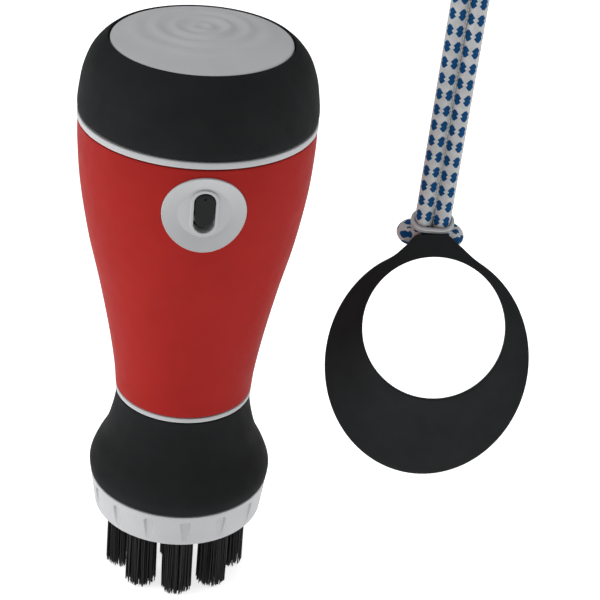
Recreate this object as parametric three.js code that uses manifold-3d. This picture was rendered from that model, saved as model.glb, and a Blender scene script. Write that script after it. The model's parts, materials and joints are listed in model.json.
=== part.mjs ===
// A hand-held club groove brush with a press-top water pump, and the soft ring that it hangs in.
// Millimetres, +Z up along the brush. The brush stands on its bristle tips at z = 0 with its axis on Z,
// its slide switch facing -Y. The ring hangs beside it on a doubled cord.
import * as THREE from "three";
import { mergeVertices } from "three/addons/utils/BufferGeometryUtils.js";
import Module from "manifold-3d";

const wasm = await Module();
wasm.setup();

// ---- driving dimensions ----
const GAP = 0.3; // clearance between neighbouring pieces
const ROUND = 36; // sides of a large round piece
const SMALL = 24; // sides of a small one

const HEAD = {
  bottom: 18.8, // underside of the collar, so the bristles show this much
  top: 28.3,
  ledge: 25.3, // the gasket bears up against this step
  spigotTop: 31.9,
  rBottom: 21.4,
  rTop: 22.5,
  rPlate: 19.3,
  rSpigot: 20.0,
  rBore: 18.7,
};
const PLATE = { low: 19.6, high: 24.0, holes: { count: 6, ring: 7.4, r: 0.9 } };
const GASKET = { rIn: 17.2, rOut: 19.2 };
const NOTCH = { count: 15, width: 2.4, depth: 0.6, low: 20.6, high: 26.4, first: 0.7 };
const TUFT = {
  count: 9,
  ring: 14.1,
  first: -2,
  rTip: 3.95,
  straight: 1.5,
  rNeck: 3.2,
  rRoot: 2.7,
  rootTop: 22.6,
};

// Outside radius against height, [radius, z], for the three outer covers.
const FLARE = [
  [22.6, 28.6],
  [22.8, 31.8],
  [21.4, 35.7],
  [19.2, 40.1],
  [17.8, 44.8],
  [16.9, 49.4],
  [16.75, 52.3],
];
const SHELL = [
  [16.95, 54.2],
  [17.5, 60.4],
  [19.15, 70.8],
  [21.75, 83.8],
  [24.7, 96.8],
  [26.8, 109.8],
  [27.6, 120.2],
  [27.65, 125.8],
];
const CAP = [
  [27.75, 128],
  [27.8, 130],
  [27.45, 133.2],
  [26.75, 137.1],
  [25.3, 141],
  [23.4, 143.6],
  [21.8, 145],
];
const WALL = 2.0; // wall of all three covers

const NECK = { r: 14.6, rBore: 12.7, low: 50.4, top: 57.4 }; // the flared housing's neck, inside the shell
const SPREADER = { r: 19.4, low: 32.7, high: 34.1, holes: { count: 8, ring: 12, r: 1.2 } };
const SEAT = { r: 12.4, low: 53.5, high: 55.4, rStem: 1.5, holes: { count: 4, ring: 3.6, r: 0.9 } };
const UMBRELLA = [
  [0, 51.6],
  [3.2, 51.9],
  [5.5, 52.7],
  [5.5, 53.2],
  [1.2, 53.2],
  [1.2, 55.7],
  [2.0, 55.7],
  [1.4, 57.2],
  [0, 57.4],
];
const LOWER_TRIM = { rIn: 14.9, rOut: 16.9, low: 52.6, high: 53.9 };
const UPPER_TRIM = [
  [25.0, 126.1],
  [27.5, 126.1],
  [27.8, 126.4],
  [27.8, 127.4],
  [27.5, 127.7],
  [25.0, 127.7],
];

const TANK = {
  bottom: 59.6,
  shoulder: 93.4,
  neckBottom: 98.4,
  top: 124.2,
  rBottom: 17.4, // the shell's outside there; the tank keeps its slack inside the shell's wall
  rShoulder: 23.9,
  rNeck: 18.4,
  wall: 1.2,
  floor: 1.4,
  slack: 0.5,
  hole: 2.9, // round the outlet tube
};
const PUMP = {
  rBore: 7.4,
  rOut: 8.6,
  bottom: 91.4,
  top: 127.7,
  flange: 1.7,
  floor: 1.4,
  rFlange: 14.6,
  rSpout: 4.4,
  spoutBottom: 81.4,
};
const TUBE = { rOut: 2.4, rIn: 1.4, rFoot: 10, bottom: 58, footTop: 59, top: 89.4 };
const PLUNGER = { rRod: 2.6, rHead: 7.0, bottom: 99.4, headTop: 106.4, top: 142 };
const GROOVE = { half: 0.8, wire: 0.42 }; // half the height of a seal's groove, and the seal's own radius
const CAP_FLOOR = { low: 128, high: 129.8, rHole: 8.0 };
const CAP_INSIDE = [
  [24.6, 137.4],
  [25.5, 132.4],
];
const SPIGOT = { rOut: 16.9, rIn: 15.0, bottom: 117.4, groove: 119.9 };
const BUTTON = {
  r: 20.8,
  rim: 145.3,
  top: 146.8,
  under: 142.4,
  boss: 138, // foot of the boss that takes the plunger
  bossWall: 1.9,
  skirtWall: 1.6,
  foot: 138.8,
  flangeTop: 140,
  rFlange: 22.6,
  mouth: 0.4, // clearance in the cap's mouth
  rLip: 23.1,
  lip: 141.8, // the cap's lip, which stops the flange
};
const SPRING = { r: 9.2, wire: 0.6, turns: 4 };
const SCREW = { ring: 12.4, count: 3, tip: 124.8, rShank: 0.9, rHead: 1.8, head: 1.3, rHole: 1.2 };

const SWITCH = {
  z: 114.6,
  lean: THREE.MathUtils.degToRad(4.4), // the shell's slope at the switch
  rBezel: 9.6,
  face: 0.4, // the bezel's flat rim, above the shell
  seat: -1.9, // its underside, in a flat recess in the shell
  rDish: 9.3,
  rFloor: 6.0,
  floor: -0.9,
  rBoss: 7.4,
  rBossBore: 6.3,
  boreTop: -2.0,
  bossEnd: -5.6,
  pad: { r: 12.2, deep: -3.9 }, // thicker wall inside the shell, round the bezel
  slot: { width: 4.8, length: 10.2 },
  knob: { width: 4.3, length: 8.5, low: -2.9, face: -0.3 },
  travel: 1.4,
  plate: { width: 7.4, length: 9.2, low: -4.2, thick: 1 },
  nut: { r: 9.5, thick: 1.2 },
  leaf: { half: 5.4, wide: 3, foot: -5.5, heel: -5.2, crown: -3.9 },
};

const HOLDER = {
  x: 59.5, // centre of the hole
  y: -10.5,
  z: 75.7,
  yaw: THREE.MathUtils.degToRad(-10), // about Z
  tilt: THREE.MathUtils.degToRad(24), // its face leans back from upright
  rHole: 17.5,
  rim: { x: -0.6, y: -9.5, a: 25.2, b: 28.9 }, // the outer rim is an ellipse about this point
  cone: THREE.MathUtils.degToRad(28), // the crescent falls back at this slope
  wall: 2.2,
  headWall: 1.3,
  tabTurn: THREE.MathUtils.degToRad(7), // the tab sits this far round from the top
  rTab: 22.9,
};
// Behind the tab a root carries an upright flap with a lip.
// The cord's bight lies behind the flap, under the lip.
const HOOK = {
  width: 6.8,
  root: { low: 17.7, high: 19.1, back: -8.6 }, // in the leaning frame, v and w
  flap: { y: 15.05, thick: 0.9, low: 13.0, top: 21.3 }, // in the upright frame
  lip: { back: 18.6, low: 20.45 },
};
// y and top are in the holder's upright frame.
// The strands lean a little, towards the middle of the ring's weight.
const CORD = { d: 4.2, apart: 4.4, y: 12.8, top: 86.0, lean: THREE.MathUtils.degToRad(2) };
const KEEPER = { z: 23.2, lean: THREE.MathUtils.degToRad(25), bar: 0.85, tall: 1.5, gap: 0.32 };
const CLAMP = {
  width: 12.4,
  depth: 7.2,
  height: 9,
  lug: 7,
  lugWidth: 3.2,
  lugDepth: 6.2,
  rEye: 1.6,
  eyeDrop: 3,
};
const SPLIT_RING = { r: 7.5, wire: 0.9 };

// ---- materials ----
const plastic = (color, roughness) => new THREE.MeshStandardMaterial({ color, roughness, metalness: 0 });
const MAT = {
  red: plastic(0xb5302a, 0.5),
  black: plastic(0x26282a, 0.65),
  grey: plastic(0xb9babc, 0.5),
  rubber: plastic(0x2b2d2f, 0.8),
  seal: plastic(0x303030, 0.9),
  bristle: plastic(0x151515, 0.6),
  clear: plastic(0xdfe5e8, 0.3),
  inner: plastic(0xe4e4e0, 0.5),
  cord: plastic(0xd6d9dc, 0.9),
  steel: new THREE.MeshStandardMaterial({ color: 0xc4c6c8, roughness: 0.3, metalness: 1 }),
};

// ---- helpers ----
const group = new THREE.Group();

function add(name, geometry, material, parent = group) {
  const mesh = new THREE.Mesh(geometry, material);
  mesh.name = name;
  parent.add(mesh);
  return mesh;
}

// A solid of revolution about Z. The outline is [radius, z], going round anticlockwise.
function turned(outline, sides = ROUND) {
  const points = outline.map(([r, z]) => new THREE.Vector2(r, z));
  return new THREE.LatheGeometry(points, sides).rotateX(Math.PI / 2);
}

// A closed outline, for a piece with a hole along its axis.
const closed = (outline) => [...outline, outline[0]];

// A plain ring or tube.
const ringOf = (rIn, rOut, low, high, sides) =>
  turned(
    closed([
      [rIn, low],
      [rOut, low],
      [rOut, high],
      [rIn, high],
    ]),
    sides,
  );

// An O-ring about Z.
const oRing = (r, wire, z, sides) => new THREE.TorusGeometry(r, wire, 6, sides).translate(0, 0, z);

// A smooth run through a few [radius, z] points, moved inwards by a wall.
function smooth(outline, inset = 0, steps = 10) {
  const curve = new THREE.SplineCurve(outline.map(([r, z]) => new THREE.Vector2(r - inset, z)));
  return curve.getPoints(steps).map((p) => [p.x, p.y]);
}

const rod = (r, low, high, sides = 12) =>
  new THREE.CylinderGeometry(r, r, high - low, sides).rotateX(Math.PI / 2).translate(0, 0, (low + high) / 2);

function solid(geometry) {
  const bare = new THREE.BufferGeometry();
  const flat = geometry.index ? geometry : mergeVertices(geometry);
  bare.setAttribute("position", flat.getAttribute("position"));
  bare.setIndex(flat.index);
  const merged = mergeVertices(bare, 1e-4);
  return new wasm.Manifold(
    new wasm.Mesh({
      numProp: 3,
      vertProperties: new Float32Array(merged.attributes.position.array),
      triVerts: new Uint32Array(merged.index.array),
    }),
  );
}

function geometryOf(made) {
  const mesh = made.getMesh();
  const geometry = new THREE.BufferGeometry();
  geometry.setAttribute("position", new THREE.BufferAttribute(mesh.vertProperties, 3));
  geometry.setIndex(new THREE.BufferAttribute(mesh.triVerts, 1));
  return geometry;
}

// Copies of one cutter, spaced evenly on a circle about Z.
function around(count, radius, make, first = 0) {
  return Array.from({ length: count }, (_, i) => {
    const angle = THREE.MathUtils.degToRad(first) + (i / count) * 2 * Math.PI - Math.PI / 2;
    const [x, y] = [radius * Math.cos(angle), radius * Math.sin(angle)];
    return make().rotateZ(angle + Math.PI / 2).translate(x, y, 0);
  });
}

const cutAll = (body, cutters) => cutters.reduce((left, cutter) => left.subtract(solid(cutter)), body);

// Cutters for a disc's ring of water holes.
const holesOf = ({ low, high, holes }) =>
  around(holes.count, holes.ring, () => rod(holes.r, low - 1, high + 1, 8));

// A pill shape, longer along its second axis.
function pill(width, length) {
  const r = width / 2;
  const straight = length / 2 - r;
  const shape = new THREE.Shape();
  shape.absarc(0, straight, r, 0, Math.PI);
  shape.absarc(0, -straight, r, Math.PI, 2 * Math.PI);
  shape.closePath();
  return shape;
}

// A box from its lowest to its highest corner.
const block = (low, high) =>
  new THREE.BoxGeometry(...high.map((v, i) => v - low[i])).translate(
    ...high.map((v, i) => (v + low[i]) / 2),
  );

const extruded = (shape, depth, curveSegments = 8) =>
  new THREE.ExtrudeGeometry(shape, { depth, bevelEnabled: false, curveSegments });

// ---- brush head ----
function brushHead() {
  const h = HEAD;
  const collar = turned(
    closed([
      [h.rPlate + GAP, h.bottom],
      [h.rBottom - 0.4, h.bottom],
      [h.rBottom, h.bottom + 0.5],
      [h.rTop, h.top - 0.4],
      [h.rTop - 0.3, h.top],
      [h.rSpigot, h.top],
      [h.rSpigot, h.spigotTop],
      [h.rBore, h.spigotTop],
      [h.rBore, h.ledge],
      [h.rPlate + GAP, h.ledge],
    ]),
    3 * NOTCH.count,
  );
  const cutter = 4;
  const notch = () =>
    block([-NOTCH.width / 2, -cutter / 2, NOTCH.low], [NOTCH.width / 2, cutter / 2, NOTCH.high]);
  const rNotchFloor = (h.rBottom + h.rTop) / 2 + 0.05 - NOTCH.depth / 2;
  const notches = around(NOTCH.count, rNotchFloor + cutter / 2, notch, NOTCH.first);
  add("collar_ring", geometryOf(cutAll(solid(collar), notches)), MAT.grey);

  const socket = () => rod(TUFT.rRoot + GAP, PLATE.low - 1, TUFT.rootTop + GAP, 10);
  const plate = cutAll(solid(rod(h.rPlate, PLATE.low, PLATE.high, ROUND)), [
    socket(),
    ...around(TUFT.count, TUFT.ring, socket, TUFT.first),
    ...holesOf(PLATE),
  ]);
  add("brush_plate", geometryOf(plate), MAT.grey);
  add("head_gasket", ringOf(GASKET.rIn, GASKET.rOut, PLATE.high + GAP, h.ledge - GAP), MAT.seal);

  const tuft = () =>
    turned(
      [
        [0, 0],
        [TUFT.rTip, 0],
        [TUFT.rTip, TUFT.straight],
        [TUFT.rNeck, PLATE.low - GAP],
        [TUFT.rRoot, PLATE.low],
        [TUFT.rRoot, TUFT.rootTop],
        [0, TUFT.rootTop],
      ],
      10,
    );
  add("tuft_centre", tuft(), MAT.bristle);
  around(TUFT.count, TUFT.ring, tuft, TUFT.first).forEach((g, i) => add("tuft_" + (i + 1), g, MAT.bristle));
}

// ---- flared housing with the outlet valve ----
function housing() {
  const outside = smooth(FLARE, 0, 8);
  const inside = smooth(FLARE.slice(0, -1), WALL, 5).reverse();
  const [, shoulder] = FLARE.at(-1);
  const neck = [
    [NECK.r, shoulder],
    [NECK.r, NECK.top],
    [NECK.rBore, NECK.top],
    [NECK.rBore, NECK.low],
  ];
  const profile = [...outside, ...neck, ...inside];
  add("flared_housing", turned(closed(profile)), MAT.black);

  const spreader = cutAll(solid(rod(SPREADER.r, SPREADER.low, SPREADER.high, 30)), holesOf(SPREADER));
  add("water_spreader", geometryOf(spreader), MAT.inner);

  const stemHole = rod(SEAT.rStem, SEAT.low - 1, SEAT.high + 1);
  const seat = cutAll(solid(rod(SEAT.r, SEAT.low, SEAT.high, SMALL)), [stemHole, ...holesOf(SEAT)]);
  add("valve_seat", geometryOf(seat), MAT.inner);
  add("check_valve", turned(UMBRELLA, 18), MAT.seal);
  const trim = LOWER_TRIM;
  add("lower_trim_ring", ringOf(trim.rIn, trim.rOut, trim.low, trim.high), MAT.grey);
}

// ---- red shell, tank and the way the water takes ----
function shellSolid() {
  const outside = smooth(SHELL, 0, 8);
  const inside = smooth(SHELL, WALL, 6).reverse();
  return solid(turned(closed([...outside, ...inside])));
}

function tank() {
  const t = TANK;
  const below = SHELL.filter(([, z]) => z > t.bottom && z < t.shoulder);
  const run = [[t.rBottom, t.bottom], ...below, [t.rShoulder, t.shoulder]];
  const inset = WALL + t.slack;
  const profile = [
    [t.hole, t.bottom],
    ...smooth(run, inset, 4),
    [t.rNeck, t.neckBottom],
    [t.rNeck, t.top],
    [t.rNeck - t.wall, t.top],
    [t.rNeck - t.wall, t.neckBottom + 0.4],
    ...smooth(run, inset + t.wall, 4)
      .reverse()
      .map(([r, z]) => [r, Math.max(z, t.bottom + t.floor)]),
    [t.hole, t.bottom + t.floor],
  ];
  add("water_tank", turned(closed(profile), 32), MAT.clear);
  const tube = [
    [TUBE.rIn, TUBE.bottom],
    [TUBE.rFoot, TUBE.bottom],
    [TUBE.rFoot, TUBE.footTop],
    [TUBE.rOut, TUBE.footTop],
    [TUBE.rOut, TUBE.top],
    [TUBE.rIn, TUBE.top],
  ];
  add("outlet_tube", turned(closed(tube), SMALL), MAT.inner);
}

// ---- slide switch ----
// The switch's own frame has its origin on the shell, its third axis straight out
// and its second axis up the shell.
function switchFrame() {
  const r = new THREE.SplineCurve(SHELL.map(([x, z]) => new THREE.Vector2(x, z)))
    .getPoints(200)
    .reduce((best, p) => (Math.abs(p.y - SWITCH.z) < Math.abs(best.y - SWITCH.z) ? p : best)).x;
  return new THREE.Matrix4()
    .makeTranslation(0, -r, SWITCH.z)
    .multiply(new THREE.Matrix4().makeRotationX(Math.PI / 2 + SWITCH.lean));
}

function slideSwitch(shell) {
  const s = SWITCH;
  const frame = switchFrame();
  const disc = (r, low, high, sides = ROUND) => rod(r, low, high, sides).applyMatrix4(frame);
  const funnel = (rLow, rHigh, low, high) =>
    new THREE.CylinderGeometry(rHigh, rLow, high - low, ROUND)
      .rotateX(Math.PI / 2)
      .translate(0, 0, (low + high) / 2)
      .applyMatrix4(frame);
  const slab = (shape, low, high) => extruded(shape, high - low).translate(0, 0, low).applyMatrix4(frame);
  const run = smooth(SHELL, 0, 8);
  const inside = solid(turned([[0, run[0][1]], ...run, [0, run.at(-1)[1]]]));
  const above = 3; // clear of everything on the outside

  const bezel = solid(disc(s.rBezel, s.seat, s.face))
    .add(solid(disc(s.rBoss, s.bossEnd, s.seat + 1)))
    .subtract(solid(funnel(s.rFloor, s.rDish, s.floor, s.face)))
    .subtract(solid(disc(s.rDish, s.face - 0.01, above)))
    .subtract(solid(disc(s.rBossBore, s.bossEnd - 1, s.boreTop)))
    .subtract(solid(slab(pill(s.slot.width, s.slot.length), s.bossEnd - 1, above)));
  add("switch_bezel", geometryOf(bezel), MAT.grey);
  const pad = solid(disc(s.pad.r, s.pad.deep, above)).intersect(inside);
  const red = shell
    .add(pad)
    .subtract(solid(disc(s.rBezel + GAP, s.seat - GAP, above)))
    .subtract(solid(disc(s.rBoss + GAP, s.bossEnd, above)));
  add("body_shell", geometryOf(red), MAT.red);

  const up = s.travel / 2 + 0.02;
  const { knob, plate, leaf } = s;
  const knobShape = extruded(pill(knob.width, knob.length), knob.face - knob.low).translate(0, up, knob.low);
  add("switch_knob", knobShape.applyMatrix4(frame), MAT.black);
  const plateShape = extruded(pill(plate.width, plate.length), plate.thick).translate(0, up, plate.low);
  add("switch_slide_plate", plateShape.applyMatrix4(frame), MAT.inner);
  const nut = new THREE.Shape().absarc(0, 0, s.nut.r, 0, 2 * Math.PI);
  nut.holes.push(new THREE.Path().absarc(0, 0, s.rBoss + GAP, 0, 2 * Math.PI));
  add("bezel_nut", extruded(nut, s.nut.thick, 12).translate(0, 0, s.bossEnd).applyMatrix4(frame), MAT.inner);
  const bow = new THREE.Shape();
  bow.moveTo(-leaf.half, leaf.foot);
  bow.lineTo(leaf.half, leaf.foot);
  bow.lineTo(leaf.half, leaf.heel);
  bow.quadraticCurveTo(0, leaf.crown, -leaf.half, leaf.heel);
  const leafSpring = extruded(bow, leaf.wide, 5).translate(0, 0, -leaf.wide / 2);
  leafSpring.rotateX(Math.PI / 2).rotateZ(Math.PI / 2);
  add("detent_spring", leafSpring.applyMatrix4(frame), MAT.steel);
}

// ---- cap, pump and button ----
function capAndPump() {
  const g = SPIGOT.groove;
  const inside = [[BUTTON.rLip, BUTTON.lip], ...CAP_INSIDE, [CAP_INSIDE.at(-1)[0], CAP_FLOOR.high]];
  const rMouth = BUTTON.r + BUTTON.mouth;
  const profile = [
    [SPIGOT.rIn, SPIGOT.bottom],
    [SPIGOT.rOut, SPIGOT.bottom],
    [SPIGOT.rOut, g - GROOVE.half],
    [SPIGOT.rOut - 1, g - GROOVE.half],
    [SPIGOT.rOut - 1, g + GROOVE.half],
    [SPIGOT.rOut, g + GROOVE.half],
    [SPIGOT.rOut, CAP_FLOOR.low],
    ...smooth(CAP, 0, 6),
    [rMouth, CAP.at(-1)[1]],
    [rMouth, BUTTON.lip],
    ...inside,
    [CAP_FLOOR.rHole, CAP_FLOOR.high],
    [CAP_FLOOR.rHole, CAP_FLOOR.low],
    [SPIGOT.rIn, CAP_FLOOR.low],
  ];
  const screwHole = () => rod(SCREW.rHole, PUMP.top - 4, CAP_FLOOR.high + 2, 12);
  const holes = () => around(SCREW.count, SCREW.ring, screwHole);
  add("top_cap", geometryOf(cutAll(solid(turned(closed(profile))), holes())), MAT.black);
  add("cap_seal", oRing(SPIGOT.rOut - 0.45, GROOVE.wire, g, ROUND), MAT.seal);
  add("upper_trim_ring", turned(closed(UPPER_TRIM)), MAT.grey);

  const p = PUMP;
  const cylinder = [
    [TUBE.rOut + 0.5, p.spoutBottom],
    [p.rSpout, p.spoutBottom],
    [p.rSpout, p.bottom],
    [p.rOut, p.bottom],
    [p.rOut, p.top - p.flange],
    [p.rFlange, p.top - p.flange],
    [p.rFlange, p.top],
    [p.rBore, p.top],
    [p.rBore, p.bottom + p.floor],
    [TUBE.rOut + 0.5, p.bottom + p.floor],
  ];
  const pump = cutAll(solid(turned(closed(cylinder), 30)), holes());
  add("pump_cylinder", geometryOf(pump), MAT.inner);
  const headLow = CAP_FLOOR.high + GAP;
  const screw = () =>
    turned(
      [
        [0, SCREW.tip],
        [SCREW.rShank, SCREW.tip],
        [SCREW.rShank, headLow],
        [SCREW.rHead, headLow],
        [SCREW.rHead, headLow + SCREW.head],
        [0, headLow + SCREW.head],
      ],
      12,
    );
  around(SCREW.count, SCREW.ring, screw).forEach((s, i) => add("pump_screw_" + (i + 1), s, MAT.steel));
}

function plungerAndButton() {
  const p = PLUNGER;
  const seal = (p.bottom + p.headTop) / 2;
  const plunger = [
    [0, p.bottom],
    [p.rHead, p.bottom],
    [p.rHead, seal - GROOVE.half],
    [p.rHead - 0.9, seal - GROOVE.half],
    [p.rHead - 0.9, seal + GROOVE.half],
    [p.rHead, seal + GROOVE.half],
    [p.rHead, p.headTop],
    [p.rRod, p.headTop],
    [p.rRod, p.top],
    [0, p.top],
  ];
  add("plunger", turned(plunger, SMALL), MAT.inner);
  add("plunger_seal", oRing(p.rHead - 0.35, GROOVE.wire, seal, SMALL), MAT.seal);

  const b = BUTTON;
  const boss = p.rRod + GAP;
  const skirt = b.r - b.skirtWall;
  const button = [
    [0, b.under],
    [boss, b.under],
    [boss, b.boss],
    [boss + b.bossWall, b.boss],
    [boss + b.bossWall, b.under],
    [skirt, b.under],
    [skirt, b.foot],
    [b.rFlange, b.foot],
    [b.rFlange, b.flangeTop],
    [b.r, b.flangeTop],
    [b.r, b.rim - 0.3],
    [b.r - 0.4, b.rim],
    [b.r * 0.66, b.rim + (b.top - b.rim) * 0.56],
    [b.r * 0.33, b.rim + (b.top - b.rim) * 0.89],
    [0, b.top],
  ];
  add("push_button", turned(button), MAT.grey);

  const low = CAP_FLOOR.high + GAP + SPRING.wire;
  const high = b.under - GAP - SPRING.wire;
  const perTurn = 12;
  const steps = SPRING.turns * perTurn;
  const coil = Array.from({ length: steps + 1 }, (_, i) => {
    const angle = (i / perTurn) * 2 * Math.PI;
    const z = low + ((high - low) * i) / steps;
    return new THREE.Vector3(SPRING.r * Math.cos(angle), SPRING.r * Math.sin(angle), z);
  });
  const wire = new THREE.Shape().absarc(0, 0, SPRING.wire, 0, 2 * Math.PI);
  const path = new THREE.CatmullRomCurve3(coil);
  const spring = new THREE.ExtrudeGeometry(wire, {
    extrudePath: path,
    steps,
    curveSegments: 3,
    bevelEnabled: false,
  });
  add("return_spring", spring, MAT.steel);
}

// ---- holder ring, lanyard and end clamp ----
// The crescent: a conical band between the round hole and the larger, lower rim.
function holderBand(steps = 48) {
  const { rHole, rim, cone, wall } = HOLDER;
  const drop = Math.tan(cone);
  const thick = wall / Math.cos(cone);
  const corners = [];
  for (let i = 0; i < steps; i += 1) {
    const t = (i / steps) * 2 * Math.PI;
    const [c, s] = [Math.cos(t), Math.sin(t)];
    // distance from the hole's centre to the rim's ellipse along this direction
    const qa = (c / rim.a) ** 2 + (s / rim.b) ** 2;
    const qb = (c * rim.x) / rim.a ** 2 + (s * rim.y) / rim.b ** 2;
    const qc = (rim.x / rim.a) ** 2 + (rim.y / rim.b) ** 2 - 1;
    const r = (qb + Math.sqrt(qb * qb - qa * qc)) / qa;
    const fall = -drop * (r - rHole);
    corners.push([rHole, 0], [r, fall], [r, fall - thick], [rHole, -thick]);
    for (let k = corners.length - 4; k < corners.length; k += 1) {
      const [radius, w] = corners[k];
      corners[k] = [radius * c, radius * s, w];
    }
  }
  const index = [];
  for (let i = 0; i < steps; i += 1) {
    for (let k = 0; k < 4; k += 1) {
      const a = i * 4 + k;
      const b = i * 4 + ((k + 1) % 4);
      const c = ((i + 1) % steps) * 4 + k;
      const d = ((i + 1) % steps) * 4 + ((k + 1) % 4);
      index.push(a, b, c, b, d, c);
    }
  }
  const geometry = new THREE.BufferGeometry();
  geometry.setAttribute("position", new THREE.Float32BufferAttribute(corners.flat(), 3));
  geometry.setIndex(index);
  return geometry;
}

// Where the tab's head is, across the holder.
const tabCentre = () => -Math.sin(HOLDER.tabTurn) * HOLDER.rTab;

function holder() {
  const upright = new THREE.Group();
  upright.position.set(HOLDER.x, HOLDER.y, HOLDER.z);
  upright.rotation.z = HOLDER.yaw;
  group.add(upright);
  const leaning = new THREE.Group();
  leaning.rotation.x = Math.PI / 2 - HOLDER.tilt;
  upright.add(leaning);

  const tab = new THREE.Shape();
  tab.moveTo(9.4, 16.9);
  tab.quadraticCurveTo(8.4, 18.2, 6.6, 19.6);
  tab.lineTo(4.0, HOLDER.rTab);
  tab.lineTo(-4.0, HOLDER.rTab);
  tab.lineTo(-6.6, 19.6);
  tab.quadraticCurveTo(-8.4, 18.2, -9.4, 16.9);
  tab.absarc(0, 0, 19.3, Math.PI / 2 + 0.5, Math.PI / 2 - 0.5, true);
  const slab = extruded(tab, HOLDER.wall, 6).translate(0, 0, -HOLDER.wall);
  const hole = rod(HOLDER.rHole, -5, 5, 64);
  const turn = (g) => g.rotateZ(HOLDER.tabTurn);
  // The head is thinner, to make room for the cord behind it.
  const rebate = block([-7, 19.6, -HOLDER.wall - 1], [7, 24, -HOLDER.headWall]);
  const { width, root, flap, lip } = HOOK;
  const side = width / 2;
  const rootBlock = block([-side, root.low, root.back], [side, root.high, -HOLDER.wall / 2]);
  const x0 = tabCentre();
  const fromUpright = (g) => g.rotateX(-leaning.rotation.x);
  const wall = block([x0 - side, flap.y, flap.low], [x0 + side, flap.y + flap.thick, flap.top]);
  const overhang = block([x0 - side, flap.y, lip.low], [x0 + side, lip.back, flap.top]);
  const ring = solid(holderBand())
    .add(solid(turn(slab)).subtract(solid(hole)))
    .subtract(solid(turn(rebate)))
    .add(solid(turn(rootBlock)))
    .add(solid(fromUpright(wall)))
    .add(solid(fromUpright(overhang)));
  add("holder_ring", geometryOf(ring), MAT.rubber, leaning);
  return upright;
}

function lanyard(upright) {
  const x0 = tabCentre();
  const half = CORD.apart / 2;
  // Half of the loop, from the bight behind the flap, round the flap's edge and up in front of it.
  const side = [
    [2.6, 18.2, 18.15],
    [5.0, 17.6, 18.1],
    [6.15, 15.5, 18.0],
    [5.3, 13.3, 18.0],
    [3.9, 12.9, 18.5],
    [2.8, CORD.y, 19.7],
    [half, CORD.y, 21.4],
    [half, CORD.y, 24.0],
    [half, CORD.y, 28.0],
    [half, CORD.y, 36.0],
    [half, CORD.y, 50.0],
    [half, CORD.y, 68.0],
    [half, CORD.y, CORD.top - GAP],
  ];
  const leant = (z) => Math.max(z - KEEPER.z, 0) * Math.tan(CORD.lean);
  const strand = (sign) => side.map(([x, y, z]) => new THREE.Vector3(x0 + sign * x + leant(z), y, z));
  const bight = new THREE.Vector3(x0, 18.2, 18.2);
  const route = new THREE.CatmullRomCurve3([...strand(-1).reverse(), bight, ...strand(1)]);
  const section = new THREE.Shape().absarc(0, 0, CORD.d / 2, 0, 2 * Math.PI);
  const tube = new THREE.ExtrudeGeometry(section, {
    extrudePath: route,
    steps: 60,
    curveSegments: 4,
    bevelEnabled: false,
  });
  add("lanyard_cord", tube, MAT.cord, upright);

  // The keeper: a stadium ring that gathers the two strands just above the tab.
  const inWidth = CORD.apart + CORD.d + 2 * KEEPER.gap;
  const inDepth = (CORD.d + 2 * KEEPER.gap) / Math.cos(KEEPER.lean);
  const outline = pill(inDepth + 2 * KEEPER.bar, inWidth + 2 * KEEPER.bar);
  outline.holes.push(pill(inDepth, inWidth));
  const keeper = extruded(outline, KEEPER.tall, 8).translate(0, 0, -KEEPER.tall / 2).rotateZ(Math.PI / 2);
  keeper.rotateX(KEEPER.lean).translate(x0, CORD.y, KEEPER.z);
  add("cord_keeper", keeper, MAT.grey, upright);

  // The end clamp, its lug and the split ring through the lug's eye.
  const c = CLAMP;
  const xEnd = x0 + leant(CORD.top);
  const body = extruded(pill(c.depth, c.width), c.height, 8).rotateZ(Math.PI / 2).translate(0, 0, CORD.top);
  const lugTop = CORD.top + c.height + c.lug;
  const lugSide = [c.lugWidth / 2, c.lugDepth / 2];
  const lug = block([-lugSide[0], -lugSide[1], lugTop - c.lug - 1], [...lugSide, lugTop]);
  const eyeZ = lugTop - c.eyeDrop;
  const eye = new THREE.CylinderGeometry(c.rEye, c.rEye, 20, 16).rotateZ(Math.PI / 2).translate(0, 0, eyeZ);
  const clamp = geometryOf(solid(body).add(solid(lug)).subtract(solid(eye))).translate(xEnd, CORD.y, 0);
  add("cord_end_clamp", clamp, MAT.grey, upright);
  const split = new THREE.TorusGeometry(SPLIT_RING.r, SPLIT_RING.wire, 6, 24).rotateX(Math.PI / 2);
  split.translate(xEnd, CORD.y, eyeZ + SPLIT_RING.r);
  add("split_ring", split, MAT.steel, upright);
}

brushHead();
housing();
tank();
slideSwitch(shellSolid());
capAndPump();
plungerAndButton();
lanyard(holder());

export default group;
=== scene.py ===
"""Looks for a club groove brush and the soft ring that it hangs in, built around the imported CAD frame."""

import json
import math
import random

import bmesh
import bpy
import numpy as np
from mathutils import Matrix, Vector


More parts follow.
